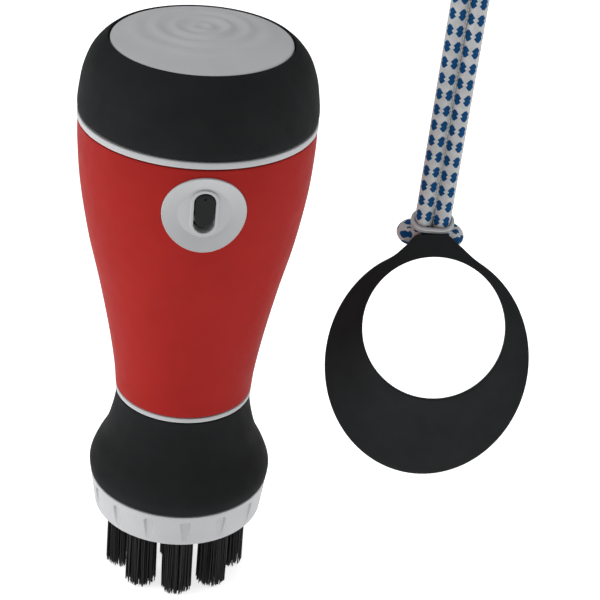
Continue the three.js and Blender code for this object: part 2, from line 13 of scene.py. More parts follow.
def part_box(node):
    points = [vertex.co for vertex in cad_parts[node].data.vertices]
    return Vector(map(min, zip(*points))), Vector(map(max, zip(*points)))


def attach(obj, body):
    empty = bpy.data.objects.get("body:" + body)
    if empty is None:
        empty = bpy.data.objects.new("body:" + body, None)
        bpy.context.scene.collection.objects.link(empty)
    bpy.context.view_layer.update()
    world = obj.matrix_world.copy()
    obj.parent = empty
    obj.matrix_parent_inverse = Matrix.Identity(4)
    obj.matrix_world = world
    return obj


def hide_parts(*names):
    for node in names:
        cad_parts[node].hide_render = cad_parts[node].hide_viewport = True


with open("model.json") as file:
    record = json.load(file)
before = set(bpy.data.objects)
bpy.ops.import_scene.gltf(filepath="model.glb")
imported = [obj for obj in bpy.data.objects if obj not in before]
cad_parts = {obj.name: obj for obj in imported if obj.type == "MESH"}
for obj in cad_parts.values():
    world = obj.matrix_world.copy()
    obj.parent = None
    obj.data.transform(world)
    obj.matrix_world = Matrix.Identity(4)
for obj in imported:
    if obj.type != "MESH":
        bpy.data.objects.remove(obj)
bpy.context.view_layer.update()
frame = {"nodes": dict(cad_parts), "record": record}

MM = 0.001  # the shapes below are in millimetres and become metres in piece()
SIDES = 144  # round a large turned piece

# ---- outlines that the CAD source gives, as [radius, height] ----
FLARE = [(22.6, 28.6), (22.8, 31.8), (21.4, 35.7), (19.2, 40.1), (17.8, 44.8), (16.9, 49.4), (16.75, 52.3)]
SHELL = [
    (16.95, 54.2), (17.5, 60.4), (19.15, 70.8), (21.75, 83.8),
    (24.7, 96.8), (26.8, 109.8), (27.6, 120.2), (27.65, 125.8),
]
CAP = [
    (27.75, 128.0), (27.8, 130.0), (27.45, 133.2), (26.75, 137.1),
    (25.3, 141.0), (23.4, 143.6), (21.8, 145.0),
]
WALL = 2.0


# ---- reading the frame ----
def span(node):
    """Lowest and highest corner of a CAD node, in millimetres."""
    low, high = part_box(node)
    return low / MM, high / MM


# ---- camera ----
def make_camera():
    heading, pitch, roll = (math.radians(a) for a in (-10, -29.68, 5.24))
    data = bpy.data.cameras.new("camera")
    data.sensor_width = 36
    data.lens = 107.22
    data.clip_start = 0.01
    camera = bpy.data.objects.new("camera", data)
    camera.matrix_world = (
        Matrix.Translation((-0.038749, -0.376195, 0.295278))
        @ Matrix.Rotation(heading, 4, "Z")
        @ Matrix.Rotation(math.radians(90) + pitch, 4, "X")
        @ Matrix.Rotation(roll, 4, "Z")
    )
    bpy.context.collection.objects.link(camera)
    bpy.context.scene.camera = camera


# ---- mesh helpers ----
def piece(name, points, faces, sharp=32, uv=None):
    """A mesh object from points in millimetres, smooth but for edges sharper than the given angle."""
    mesh = bpy.data.meshes.new(name)
    mesh.from_pydata([Vector(p) * MM for p in points], [], faces)
    if uv is not None:
        layer = mesh.uv_layers.new(name="UVMap")
        layer.data.foreach_set("uv", np.asarray(uv, np.float32).ravel())
    work = bmesh.new()
    work.from_mesh(mesh)
    bmesh.ops.recalc_face_normals(work, faces=work.faces)
    work.to_mesh(mesh)
    work.free()
    obj = bpy.data.objects.new(name, mesh)
    bpy.context.collection.objects.link(obj)
    shade(obj, sharp)
    return obj


def shade(obj, sharp=32):
    obj.data.shade_smooth()
    obj.data.set_sharp_from_angle(angle=math.radians(sharp))


def skin_faces(rows, sides, loop):
    """Quads between rings of points, the last joined to the first if loop."""
    faces = []
    for k in range(rows if loop else rows - 1):
        a, b = k * sides, (k + 1) % rows * sides
        faces += [(a + i, a + (i + 1) % sides, b + (i + 1) % sides, b + i) for i in range(sides)]
    return faces


def skin(name, rings, loop=True, sharp=32):
    """A closed surface through rings of equal length. Without loop, both ends are closed with a fan."""
    rings = np.asarray(rings, float)
    rows, sides = rings.shape[:2]
    points = list(rings.reshape(-1, 3))
    faces = skin_faces(rows, sides, loop)
    if not loop:
        for row in (0, rows - 1):
            centre = len(points)
            points.append(rings[row].mean(axis=0))
            faces += [(row * sides + i, row * sides + (i + 1) % sides, centre) for i in range(sides)]
    return piece(name, points, faces, sharp)


def turned(name, outline, sides=SIDES, loop=True, sharp=32):
    """A solid of revolution about Z."""
    angles = np.arange(sides) * 2 * math.pi / sides
    rings = [[(r * math.cos(a), r * math.sin(a), z) for a in angles] for r, z in outline]
    return skin(name, rings, loop, sharp)


def spline(points, steps, inset=0.0):
    """A uniform Catmull-Rom run through [radius, height] points, moved inwards by inset."""
    pts = [np.array(p, float) - (inset, 0) for p in points]
    run = []
    for i in range(len(pts) - 1):
        p0, p1, p2, p3 = pts[max(i - 1, 0)], pts[i], pts[i + 1], pts[min(i + 2, len(pts) - 1)]
        for k in range(steps):
            t = k / steps
            v0, v1 = (p2 - p0) / 2, (p3 - p1) / 2
            run.append(tuple(
                (2 * p1 - 2 * p2 + v0 + v1) * t**3 + (-3 * p1 + 3 * p2 - 2 * v0 - v1) * t**2 + v0 * t + p1
            ))
    run.append(tuple(pts[-1]))
    return run


def radius_at(outline, height):
    run = spline(outline, 24)
    return float(np.interp(height, [z for _, z in run], [r for r, _ in run]))


def rounded(corners, steps=4):
    """A closed outline whose corners (x, y, radius) are rounded off. A radius of 0 keeps the corner."""
    out = []
    for i, (x, y, r) in enumerate(corners):
        here = np.array((x, y), float)
        if r <= 0:
            out.append(tuple(here))
            continue
        ends = []
        for other in (corners[i - 1], corners[(i + 1) % len(corners)]):
            way = np.array(other[:2], float) - here
            reach = np.linalg.norm(way)
            ends.append(here + way / reach * min(r, reach * 0.49))
        for k in range(steps + 1):
            t = k / steps
            out.append(tuple((1 - t) ** 2 * ends[0] + 2 * t * (1 - t) * here + t**2 * ends[1]))
    return out


def ease(x):
    """0 below 0, 1 above 1 and smooth between."""
    x = min(max(x, 0.0), 1.0)
    return x * x * (3 - 2 * x)


def boolean(obj, cutter, operation="DIFFERENCE", sharp=32):
    """Cuts or joins and removes the cutter."""
    modifier = obj.modifiers.new("boolean", "BOOLEAN")
    modifier.operation = operation
    modifier.object = cutter
    modifier.solver = "EXACT"
    graph = bpy.context.evaluated_depsgraph_get()
    obj.data = bpy.data.meshes.new_from_object(obj.evaluated_get(graph))
    obj.modifiers.clear()
    bpy.data.objects.remove(cutter)
    shade(obj, sharp)
    return obj


def moved(obj, matrix):
    """Carries a mesh made in a frame of its own, in millimetres, to its place."""
    place = matrix.copy()
    place.translation *= MM
    obj.data.transform(place)
    return obj


def pill_reach(width, length, angle):
    """Distance from a pill's centre to its edge in that direction.

    The pill is longer along its second axis.
    """
    w, h = width / 2, (length - width) / 2
    c, s = abs(math.cos(angle)), abs(math.sin(angle))
    if c > 1e-9 and s * w / c <= h:
        return w / c
    return h * s + math.sqrt(max(w * w - (h * c) ** 2, 0))


def pill_ring(width, length, z, angles):
    reaches = [pill_reach(width, length, a) for a in angles]
    return [(r * math.cos(a), r * math.sin(a), z) for r, a in zip(reaches, angles)]


def even_angles(count):
    return [2 * math.pi * i / count for i in range(count)]


# ---- materials ----
def linear(red, green, blue):
    """Screen colour, 0 to 255 each, as the linear colour that a shader takes."""
    levels = [c / 255 for c in (red, green, blue)]
    return tuple(c / 12.92 if c <= 0.04 else ((c + 0.055) / 1.055) ** 2.4 for c in levels) + (1,)


class Nodes:
    """A material's node tree, with short ways to add and join nodes."""

    def __init__(self, name):
        self.material = bpy.data.materials.new(name)
        self.material.use_nodes = True
        self.tree = self.material.node_tree
        self.shader = self.tree.nodes["Principled BSDF"]

    def add(self, kind, **values):
        node = self.tree.nodes.new(kind)
        for key, value in values.items():
            setattr(node, key, value)
        return node

    def link(self, source, target):
        self.tree.links.new(source, target)

    def fill(self, socket, value):
        if isinstance(value, bpy.types.NodeSocket):
            self.link(value, socket)
        else:
            socket.default_value = value

    def math(self, operation, a, b=0.0, c=0.0):
        node = self.add("ShaderNodeMath", operation=operation)
        for socket, value in zip(node.inputs, (a, b, c)):
            self.fill(socket, value)
        return node.outputs[0]

    def mix(self, factor, a, b):
        node = self.add("ShaderNodeMix", data_type="RGBA")
        for socket, value in zip((node.inputs[0], node.inputs[6], node.inputs[7]), (factor, a, b)):
            self.fill(socket, value)
        return node.outputs[2]

    def noise(self, size_mm, detail=3.0):
        """Noise whose features are about this size, fixed to the object."""
        coords = self.add("ShaderNodeTexCoord")
        node = self.add("ShaderNodeTexNoise")
        self.link(coords.outputs["Object"], node.inputs["Vector"])
        node.inputs["Scale"].default_value = 1 / (size_mm * MM)
        node.inputs["Detail"].default_value = detail
        return node.outputs[0]

    def ramp(self, value, low, high, out_low=0.0, out_high=1.0):
        node = self.add("ShaderNodeMapRange")
        self.link(value, node.inputs[0])
        for socket, number in zip(node.inputs[1:5], (low, high, out_low, out_high)):
            socket.default_value = number
        return node.outputs[0]

    def bump(self, height, depth_mm, strength=1.0):
        node = self.add("ShaderNodeBump")
        node.inputs["Distance"].default_value = depth_mm * MM
        node.inputs["Strength"].default_value = strength
        self.link(height, node.inputs["Height"])
        self.link(node.outputs[0], self.shader.inputs["Normal"])


def moulded(name, colour, roughness, mottle=0.06, grain_mm=0.35, grain_depth=0.012, gloss=0.5, edge_highlight_amount=0.12):
    """Moulded plastic or rubber: a fine grain, cloudy patches of gloss and tone, and a painted highlight that
    pales the convex edges in patches.
    """
    n = Nodes(name)
    base = linear(*colour)
    cloud = n.noise(9.0)
    dark = tuple(c * (1 - mottle) for c in base[:3]) + (1,)
    light = tuple(min(c * (1 + mottle), 1) for c in base[:3]) + (1,)
    tone = n.mix(n.ramp(cloud, 0.3, 0.7), dark, light)
    # Painted highlight: convex edges, found by pointiness, are lightened in noisy patches towards a paler
    # copy of the base colour.
    edges = n.add("ShaderNodeNewGeometry").outputs["Pointiness"]
    painted_edge_highlight = n.math("MULTIPLY", n.ramp(edges, 0.52, 0.62), n.ramp(n.noise(1.6), 0.35, 0.7, 0, edge_highlight_amount))
    edge_highlight_colour = tuple(min(c * 1.6 + 0.03, 1) for c in base[:3]) + (1,)
    n.link(n.mix(painted_edge_highlight, tone, edge_highlight_colour), n.shader.inputs["Base Color"])
    n.link(n.ramp(n.noise(3.0), 0.3, 0.7, roughness - 0.05, roughness + 0.05), n.shader.inputs["Roughness"])
    n.shader.inputs["Specular IOR Level"].default_value = gloss
    n.bump(n.noise(grain_mm, 2.0), grain_depth)
    return n.material


def translucent(name, colour):
    n = Nodes(name)
    tone = n.mix(n.ramp(n.noise(6.0), 0.3, 0.7), linear(*colour), (0.9, 0.93, 0.95, 1))
    n.link(tone, n.shader.inputs["Base Color"])
    n.shader.inputs["Transmission Weight"].default_value = 0.5
    n.shader.inputs["Roughness"].default_value = 0.35
    n.bump(n.noise(1.2), 0.02)
    return n.material


def metal(name, colour):
    """Bright spring steel with fine drawing marks."""
    n = Nodes(name)
    n.shader.inputs["Metallic"].default_value = 1.0
    tone = n.mix(n.ramp(n.noise(2.5), 0.3, 0.7), linear(*colour), (0.75, 0.76, 0.77, 1))
    n.link(tone, n.shader.inputs["Base Color"])
    n.link(n.ramp(n.noise(0.8), 0.3, 0.7, 0.18, 0.34), n.shader.inputs["Roughness"])
    n.bump(n.noise(0.25), 0.004)
    return n.material


def filament(name):
    """Black nylon bristle, with a long soft gloss that varies from strand to strand."""
    n = Nodes(name)
    strand = n.add("ShaderNodeAttribute", attribute_name="strand").outputs["Fac"]
    n.link(n.mix(strand, linear(6, 6, 6), linear(24, 24, 25)), n.shader.inputs["Base Color"])
    n.link(n.ramp(strand, 0, 1, 0.55, 0.42), n.shader.inputs["Roughness"])
    n.shader.inputs["Specular IOR Level"].default_value = 0.25
    n.bump(n.noise(0.3), 0.01)
    return n.material


# ---- the cord ----
CORD = 4.2  # diameter
BRAID = {"around": 15, "cell": 1.0, "crown": 0.1, "relief": 0.13, "repeat": (3, 4)}
# The cells of one blue fleck, across and along in half cells, and their middle in cells round the cord.
FLECK = ((1, 1), (0, 2), (2, 2), (1, 3), (0, 4), (2, 4), (1, 5))
FLECK_AT = 1.0
# The holder's frame stands upright at the middle of its hole, turned about Z.
HOLDER_AT = Vector((59.5, -10.5, 75.7))
HOLDER_YAW = math.radians(-10)
HOLDER_TILT = math.radians(24)
TAB_TURN = math.radians(7)
UPRIGHT = Matrix.Translation(HOLDER_AT) @ Matrix.Rotation(HOLDER_YAW, 4, "Z")
LEANING = UPRIGHT @ Matrix.Rotation(math.pi / 2 - HOLDER_TILT, 4, "X")
HITCH_X = -math.sin(TAB_TURN) * 22.9
STRAND_Y = 12.8
KEEPER_Z = 23.2
STRAND_LEAN = math.radians(2)  # the strands lean towards the middle of the ring's weight

# Half of the route in metres, from behind the flap to the end clamp, in the upright frame.
HALF_ROUTE = [
    (0.0026, 0.0182, 0.01815),
    (0.0050, 0.0176, 0.0181),
    (0.00615, 0.0155, 0.0180),
    (0.0053, 0.0133, 0.0180),
    (0.0039, 0.0129, 0.0185),
    (0.0028, 0.0128, 0.0197),
    (0.0022, 0.0128, 0.0214),
    (0.0022, 0.0128, 0.0240),
    (0.0022, 0.0128, 0.0280),
    (0.0022, 0.0128, 0.0360),
    (0.0022, 0.0128, 0.0500),
    (0.0022, 0.0128, 0.0680),
    (0.0022, 0.0128, 0.0857),
]
BIGHT = (0.0, 0.0182, 0.0182)


def leant(z):
    return max(z - KEEPER_Z, 0) * math.tan(STRAND_LEAN)


def cord_route():
    def strand(side):
        return [Vector((HITCH_X + side * x / MM + leant(z / MM), y / MM, z / MM)) for x, y, z in HALF_ROUTE]

    middle = Vector(BIGHT) / MM + Vector((HITCH_X, 0, 0))
    points = [UPRIGHT @ p for p in [*reversed(strand(-1)), middle, *strand(1)]]
    return even_steps(centripetal(points, 24), 0.3)


def centripetal(points, steps):
    """A centripetal Catmull-Rom curve through the points."""
    ends = [2 * points[0] - points[1], *points, 2 * points[-1] - points[-2]]
    run = []
    for p0, p1, p2, p3 in zip(ends, ends[1:], ends[2:], ends[3:]):
        d0, d1, d2 = (math.sqrt((b - a).length) for a, b in ((p0, p1), (p1, p2), (p2, p3)))
        v1 = ((p1 - p0) / d0 - (p2 - p0) / (d0 + d1) + (p2 - p1) / d1) * d1
        v2 = ((p2 - p1) / d1 - (p3 - p1) / (d1 + d2) + (p3 - p2) / d2) * d1
        for k in range(steps):
            t = k / steps
            run.append(
                p1 + v1 * t + (3 * (p2 - p1) - 2 * v1 - v2) * t**2 + (2 * (p1 - p2) + v1 + v2) * t**3
            )
    return [*run, points[-1]]


def even_steps(points, step):
    """The same line at even steps along its length."""
    line = np.array(points)
    along = np.concatenate([[0], np.cumsum(np.linalg.norm(np.diff(line, axis=0), axis=1))])
    count = int(round(along[-1] / step))
    wanted = np.linspace(0, along[-1], count + 1)
    return np.stack([np.interp(wanted, along, line[:, k]) for k in range(3)], axis=1)


def carried_frames(line):
    """Two directions square to the line at each point, carried along it without twisting."""
    ahead = np.gradient(line, axis=0)
    ahead /= np.linalg.norm(ahead, axis=1)[:, None]
    first = np.zeros_like(line)
    start = len(line) // 2
    seed = np.cross(ahead[start], (0, 0, 1.0))
    first[start] = seed / np.linalg.norm(seed)
    for order in (range(start + 1, len(line)), range(start - 1, -1, -1)):
        last = first[start]
        for i in order:
            last = last - ahead[i] * (last @ ahead[i])
            last /= np.linalg.norm(last)
            first[i] = last
    return first, np.cross(ahead, first)


def braid_turns(first, second):
    """Turns of the braid on the two strands that set a row of flecks a little to the right of the front."""
    aside = math.radians(28)
    face = UPRIGHT.to_3x3() @ Vector((math.sin(aside), -math.cos(aside), 0))
    fleck = 2 * math.pi * FLECK_AT / BRAID["around"]
    turns = []
    for i in (len(first) // 5, -len(first) // 5):
        turns.append(math.atan2(second[i].dot(face), first[i].dot(face)) - fleck)
    between = 2 * math.pi * BRAID["repeat"][0] / BRAID["around"]  # from one row of flecks to the next
    return turns[0], turns[0] + math.remainder(turns[1] - turns[0], between)


def make_cord(material):
    line = cord_route()
    first, second = carried_frames(line)
    turns = braid_turns(first, second)
    sides = 75
    step = np.linalg.norm(line[1] - line[0])
    middle = (len(line) - 1) / 2
    points, uv_rows = [], []
    for i, at in enumerate(line):
        v = (i - middle) * step / BRAID["cell"]
        twist = turns[0] + (turns[1] - turns[0]) * ease((i / (len(line) - 1) - 0.4) / 0.2)
        row = []
        for k in range(sides):
            u = k / sides * BRAID["around"]
            p, q = (u + v) % 1, (u - v) % 1
            pillow = math.sqrt(math.sin(math.pi * p) * math.sin(math.pi * q))
            r = CORD / 2 + BRAID["crown"] - BRAID["relief"] * (1 - pillow)
            a = 2 * math.pi * k / sides + twist
            points.append(at + r * (math.cos(a) * first[i] + math.sin(a) * second[i]))
            row.append((u, v))
        row.append((BRAID["around"], v))
        uv_rows.append(row)
    faces = skin_faces(len(line), sides, loop=False)
    uv = []
    for i in range(len(line) - 1):
        for k in range(sides):
            uv += [uv_rows[i][k], uv_rows[i][k + 1], uv_rows[i + 1][k + 1], uv_rows[i + 1][k]]
    for row in (0, len(line) - 1):
        centre = len(points)
        points.append(line[row])
        faces += [(row * sides + k, row * sides + (k + 1) % sides, centre) for k in range(sides)]
        uv += [(0.5, 0.5)] * 3 * sides
    cord = piece("braided_cord", points, faces, sharp=180, uv=uv)
    cord.data.materials.append(material)
    length = float(np.sum(np.linalg.norm(np.diff(line, axis=0), axis=1)))
    return cord, line, length


def braid_material():
    """Pale braid with stepped dark blue flecks, five round the cord and one every four cells along it."""
    n = Nodes("braid")
    uv = n.add("ShaderNodeUVMap", uv_map="UVMap").outputs[0]
    split = n.add("ShaderNodeSeparateXYZ")
    n.link(uv, split.inputs[0])
    u, v = split.outputs[0], split.outputs[1]
    wide, tall = (2.0 * cells for cells in BRAID["repeat"])

    def in_fleck(aside):
        """1 in the blue cells. The pattern repeats round and along, so two numbers name a cell."""
        at = n.math("ADD", u, aside)
        i = n.math("FLOOR", n.math("ADD", at, v))
        j = n.math("FLOOR", n.math("SUBTRACT", at, v))
        across = n.math("FLOORED_MODULO", n.math("ADD", i, j), wide)
        along = n.math("FLOORED_MODULO", n.math("SUBTRACT", i, j), tall)
        cell = n.math("MULTIPLY_ADD", across, tall, along)
        blue = 0.0
        for a, b in FLECK:
            blue = n.math("ADD", blue, n.math("COMPARE", cell, a * tall + b, 0.25))
        return blue

    # The dark yarns swell over their neighbours, so each fleck is a little wider than its cells.
    swell = 0.2
    blue = n.math("MAXIMUM", in_fleck(-swell), in_fleck(swell))
    fibre = n.noise(0.22, 4.0)
    cloud = n.noise(2.5)
    white = n.mix(n.ramp(cloud, 0.3, 0.7), linear(190, 193, 193), linear(211, 213, 214))
    white = n.mix(n.ramp(fibre, 0.35, 0.65, 0, 0.3), white, linear(150, 150, 152))
    navy = n.mix(n.ramp(fibre, 0.35, 0.65), linear(2, 58, 102), linear(8, 78, 132))
    n.link(n.mix(blue, white, navy), n.shader.inputs["Base Color"])
    n.shader.inputs["Roughness"].default_value = 0.85
    n.shader.inputs["Specular IOR Level"].default_value = 0.15
    n.bump(fibre, 0.05, 0.7)
    return n.material


# ---- brush body ----
def outside_of(outline, steps, soft):
    """The outer run of a cover whose two end edges are eased off by soft."""
    run = spline(outline, steps)
    (r0, z0), (r1, z1) = run[0], run[-1]
    low = [(r0 - soft, z0), (r0 - soft * 0.3, z0 + soft * 0.12), (r0, z0 + soft * 0.7)]
    high = [(r1, z1 - soft * 0.7), (r1 - soft * 0.3, z1 - soft * 0.12), (r1 - soft, z1)]
    kept = [(r, z) for r, z in run if z0 + soft < z < z1 - soft]
    return [*low, *kept, *high]


def switch_place():
    """The switch's frame: third axis straight out of the shell, second axis up it."""
    height, lean = 114.6, math.radians(4.4)
    on_shell = Matrix.Translation((0, -radius_at(SHELL, height), height))
    askew = Matrix.Rotation(math.radians(-0.4), 4, "Z")
    return askew @ (on_shell @ Matrix.Rotation(math.pi / 2 + lean, 4, "X"))


def make_shell(materials):
    inner = list(reversed(spline(SHELL, 6, WALL)))
    shell = turned("red_body", [*outside_of(SHELL, 14, 0.35), *inner], 192)
    for radius, low in ((BEZEL["r"] + 0.08, BEZEL["seat"]), (BEZEL["boss"] + 0.3, -8)):
        cutter = turned("cutter", [(radius, low), (radius, 6)], 96, loop=False)
        boolean(shell, moved(cutter, switch_place()))
    finish_piece(shell, "brush", "red_plastic", materials, "body_shell")


def make_trims(materials):
    for node, name, wall in (("upper_trim_ring", "upper_trim", 2.8), ("lower_trim_ring", "lower_trim", 2.0)):
        low, high = span(node)
        r, z0, z1 = high.x, low.z, high.z
        corners = [(r - wall, z0, 0.1), (r, z0, 0.35), (r, z1, 0.35), (r - wall, z1, 0.1)]
        finish_piece(turned(name, rounded(corners), 192), "brush", "grey_plastic", materials, node)


def make_flare(materials):
    inner = list(reversed(spline(FLARE, 6, WALL)))
    flare = turned("flared_skirt", [*outside_of(FLARE, 16, 0.4), *inner], 168)
    finish_piece(flare, "brush", "black_soft", materials, "flared_housing")


def make_cap(materials):
    low, _ = span("top_cap")
    lip = CAP[-1][1] - 3.2
    bore = 21.1
    inner = [
        (bore, CAP[-1][1]), (bore, lip), (23.1, lip), (24.6, 137.4), (25.5, 132.4), (25.5, 129.8),
        (8.0, 129.8), (8.0, 128.0), (15.0, 128.0), (15.0, low.z), (16.9, low.z),
        (16.9, 119.1), (15.9, 119.1), (15.9, 120.7), (16.9, 120.7), (16.9, 128.0), (27.3, 128.0),
    ]
    outside = spline([(27.7, 128.3), *CAP[1:]], 12)
    # The lip comes up flush with the button's rim.
    top = [(r, CAP[-1][1] + up) for r, up in ((21.6, 0.16), (21.4, 0.28), (21.25, 0.32), (21.15, 0.28))]
    cap = turned("cap_cover", [*outside, *top, *inner], 192)
    finish_piece(cap, "cap", "black_soft", materials, "top_cap")


# Each ring is its radius, height and width.
RIPPLES = {
    "at": (0.35, 5.4),
    "rings": [(2.0, 0.42, 1.0), (6.2, 0.7, 1.3), (10.6, 0.66, 1.6), (15.2, 0.38, 2.0)],
}


def ripple(x, y):
    """Height of the rings, like those round a fallen drop, strongest to the front and the right."""
    dx, dy = x - RIPPLES["at"][0], y - RIPPLES["at"][1]
    r = math.hypot(dx, dy)
    side = 0.85 + 0.15 * math.cos(math.atan2(dy, dx) + 0.6)
    return side * sum(
        height * math.exp(-(((r - ring) / width) ** 2)) for ring, height, width in RIPPLES["rings"]
    )


def make_button(materials):
    high = span("push_button")[1]
    r = 20.8
    rim, crown = high.z - 1.5, high.z - 0.8
    sides, rows = 192, 90
    angles = even_angles(sides)

    def top(radius):
        share = radius / r
        return rim + (crown - rim) * (1 - share**2)

    outline = [(0.05, 138.4), (4.9, 138.4), (4.9, 142.4), (19.2, 142.4), (19.2, 138.8), (22.6, 138.8)]
    outline += [(22.6, 140.0), (r, 140.0), (r, rim - 0.45), (r - 0.08, rim - 0.2), (r - 0.3, rim - 0.03)]
    rings = [[(q * math.cos(a), q * math.sin(a), z) for a in angles] for q, z in outline]
    for k in range(rows):
        q = (r - 0.6) * (1 - k / rows)
        fade = ease((r - q) / 2.5)
        ring = []
        for a in angles:
            x, y = q * math.cos(a), q * math.sin(a)
            ring.append((x, y, top(q) + fade * ripple(x, y)))
        rings.append(ring)
    button = skin("rippled_button", rings, loop=False)
    finish_piece(button, "button", "grey_plastic", materials, "push_button")


# ---- slide switch ----
BEZEL = {"r": 9.5, "face": 0.15, "seat": -1.9, "dish": 9.32, "pan": 6.0, "floor": -0.9, "boss": 7.4}
SLOT = {"width": 4.8, "length": 10.2, "lip": 0.62, "up": 0.3}
KNOB = {"width": 4.3, "length": 8.5, "low": -2.9, "face": -0.3, "up": 1.0}


def make_bezel(materials):
    angles = even_angles(192)
    barrel = radius_at(SHELL, 114.6)
    lip = BEZEL["floor"] + 0.5

    def fall(x):
        """The whole face follows the round of the body."""
        return x * x / (2 * barrel)

    def pan(x):
        return BEZEL["floor"] - fall(x)

    def slot_ring(grow, drop, on_pan=False):
        ring = pill_ring(SLOT["width"] + 2 * grow, SLOT["length"] + 2 * grow, 0, angles)
        return [(x, y + SLOT["up"], pan(x) if on_pan else lip - drop - fall(x)) for x, y, _ in ring]

    def circle(radius, height):
        return [(radius * math.cos(a), radius * math.sin(a), height) for a in angles]

    def pan_ring(radius, lift=0.0):
        return [(x, y, pan(x) + lift) for x, y, _ in circle(radius, 0)]

    under = -3.0
    wide = SLOT["lip"]
    rings = [[(x, y + SLOT["up"], z) for x, y, z in pill_ring(SLOT["width"], SLOT["length"], under, angles)]]
    rings += [slot_ring(g, d) for g, d in ((0, 0.3), (0.02, 0.1), (0.08, 0.02), (0.16, 0), (wide, 0.03))]
    rings += [slot_ring(wide + 0.08, 0.1), slot_ring(wide + 0.12, 0.3), slot_ring(wide + 0.2, 0, True)]
    edge, rim_of_pan = rings[-1], pan_ring(BEZEL["pan"] - 0.3)
    for t in (0.25, 0.5, 0.75, 1.0):
        ring = [tuple(np.array(a) * (1 - t) + np.array(b) * t) for a, b in zip(edge, rim_of_pan)]
        rings.append([(x, y, pan(x)) for x, y, _ in ring])
    # From the pan the dish climbs to the narrow rim.
    for k in range(15):
        t = k / 14
        radius = BEZEL["pan"] + (BEZEL["dish"] - BEZEL["pan"]) * t
        climb = 0.96 * t + 0.04 * ease(t)
        rings.append([
            (x, y, pan(x) * (1 - climb) + (BEZEL["face"] - 0.03 - fall(x)) * climb)
            for x, y, _ in circle(radius, 0)
        ])
    r, face = BEZEL["r"], BEZEL["face"]
    for radius, height in ((r - 0.14, face), (r - 0.08, face), (r - 0.03, face - 0.03), (r, face - 0.1)):
        rings.append([(x, y, height - fall(x)) for x, y, _ in circle(radius, 0)])
    rings += [circle(r, BEZEL["seat"] + 0.1), circle(BEZEL["boss"], BEZEL["seat"] + 0.1)]
    rings.append(circle(BEZEL["boss"], under))
    bezel = moved(skin("switch_surround", rings), switch_place())
    finish_piece(bezel, "brush", "grey_plastic", materials, "switch_bezel")


def make_knob(materials):
    angles = even_angles(96)
    k = KNOB
    rings = [pill_ring(k["width"], k["length"], k["low"], angles)]
    edge = 0.3
    for step in range(6):
        a = step / 5 * math.pi / 2
        grow = -edge * (1 - math.cos(a)) * 2
        level = k["face"] - edge * (1 - math.sin(a))
        rings.append(pill_ring(k["width"] + grow, k["length"] + grow, level, angles))
    for share, dip in ((0.75, 0.03), (0.5, 0.06), (0.2, 0.07)):
        width, length = (k["width"] - 2 * edge) * share, (k["length"] - 2 * edge) * share
        rings.append(pill_ring(width, length, k["face"] - dip, angles))
    knob = skin("switch_slide", rings, loop=False)
    dimple_up = k["length"] / 2 - 1.25
    arc = [(0.3 * math.cos(a), 0.34 * math.sin(a)) for a in np.linspace(-1.5, 1.5, 9)]
    dimple = turned("cutter", arc, 24, loop=False)
    boolean(knob, moved(dimple, Matrix.Translation((0, dimple_up, k["face"] + 0.02))))
    place = switch_place() @ Matrix.Translation((0, k["up"], 0))
    finish_piece(moved(knob, place), "switch", "black_gloss", materials, "switch_knob")


# ---- head ----
NOTCH = {
    "count": 15, "first": 0.7, "half": 1.45, "depth": 0.6,
    "low": 20.3, "high": 26.7, "corner": 0.9, "edge": 0.2,
}


def notch_depth(x, z):
    """A thumb notch: an arch at its top, narrowing and running out at its foot."""
    up = min(max((z - NOTCH["low"]) / (NOTCH["high"] - NOTCH["low"]), 0), 1)
    half = NOTCH["half"] * (0.5 + 0.5 * up**0.8)
    corner = min(NOTCH["corner"], half)
    dx, dz = abs(x) - (half - corner), z - (NOTCH["high"] - corner)
    outside = math.hypot(dx, dz) - corner if dx > 0 and dz > 0 else max(abs(x) - half, z - NOTCH["high"])
    return NOTCH["depth"] * up**0.7 * ease(-outside / NOTCH["edge"])


def make_collar(materials):
    low, _ = span("collar_ring")
    z0, z1 = low.z, 28.3
    r0, r1 = 21.4, 22.5
    step = 0.2
    face = [(r0 + (r1 - r0) * t, z0 + 0.5 + (z1 - 0.9 - z0) * t) for t in np.linspace(0, 1, int(9 / step))]
    outline = [(19.6, z0 + 0.1), (19.75, z0), (r0 - 0.65, z0), (r0 - 0.5, z0 + 0.05), (r0 - 0.04, z0 + 0.45)]
    outline += face
    outline += [(r1 - 0.06, z1 - 0.14), (r1 - 0.25, z1), (20.0, z1), (20.0, z1 + 3.5), (18.7, z1 + 3.5)]
    outline += [(18.7, z1 - 3), (19.6, z1 - 3)]
    pitch = 360 / NOTCH["count"]
    reach = math.degrees((NOTCH["half"] + 0.15) / r1)
    offsets = [*np.linspace(-reach, reach, 21), *np.linspace(reach, pitch - reach, 9)[1:-1]]
    angles = [
        (math.radians(NOTCH["first"] + pitch * k + o - 90), math.radians(o) * r1 if o <= reach else 99)
        for k in range(NOTCH["count"]) for o in offsets
    ]
    rings = []
    for r, z in outline:
        ring = []
        for a, x in angles:
            cut = notch_depth(x, z) if r > 21.3 and x < 90 else 0
            ring.append(((r - cut) * math.cos(a), (r - cut) * math.sin(a), z))
        rings.append(ring)
    finish_piece(skin("grip_collar", rings, sharp=40), "head", "grey_plastic", materials, "collar_ring")


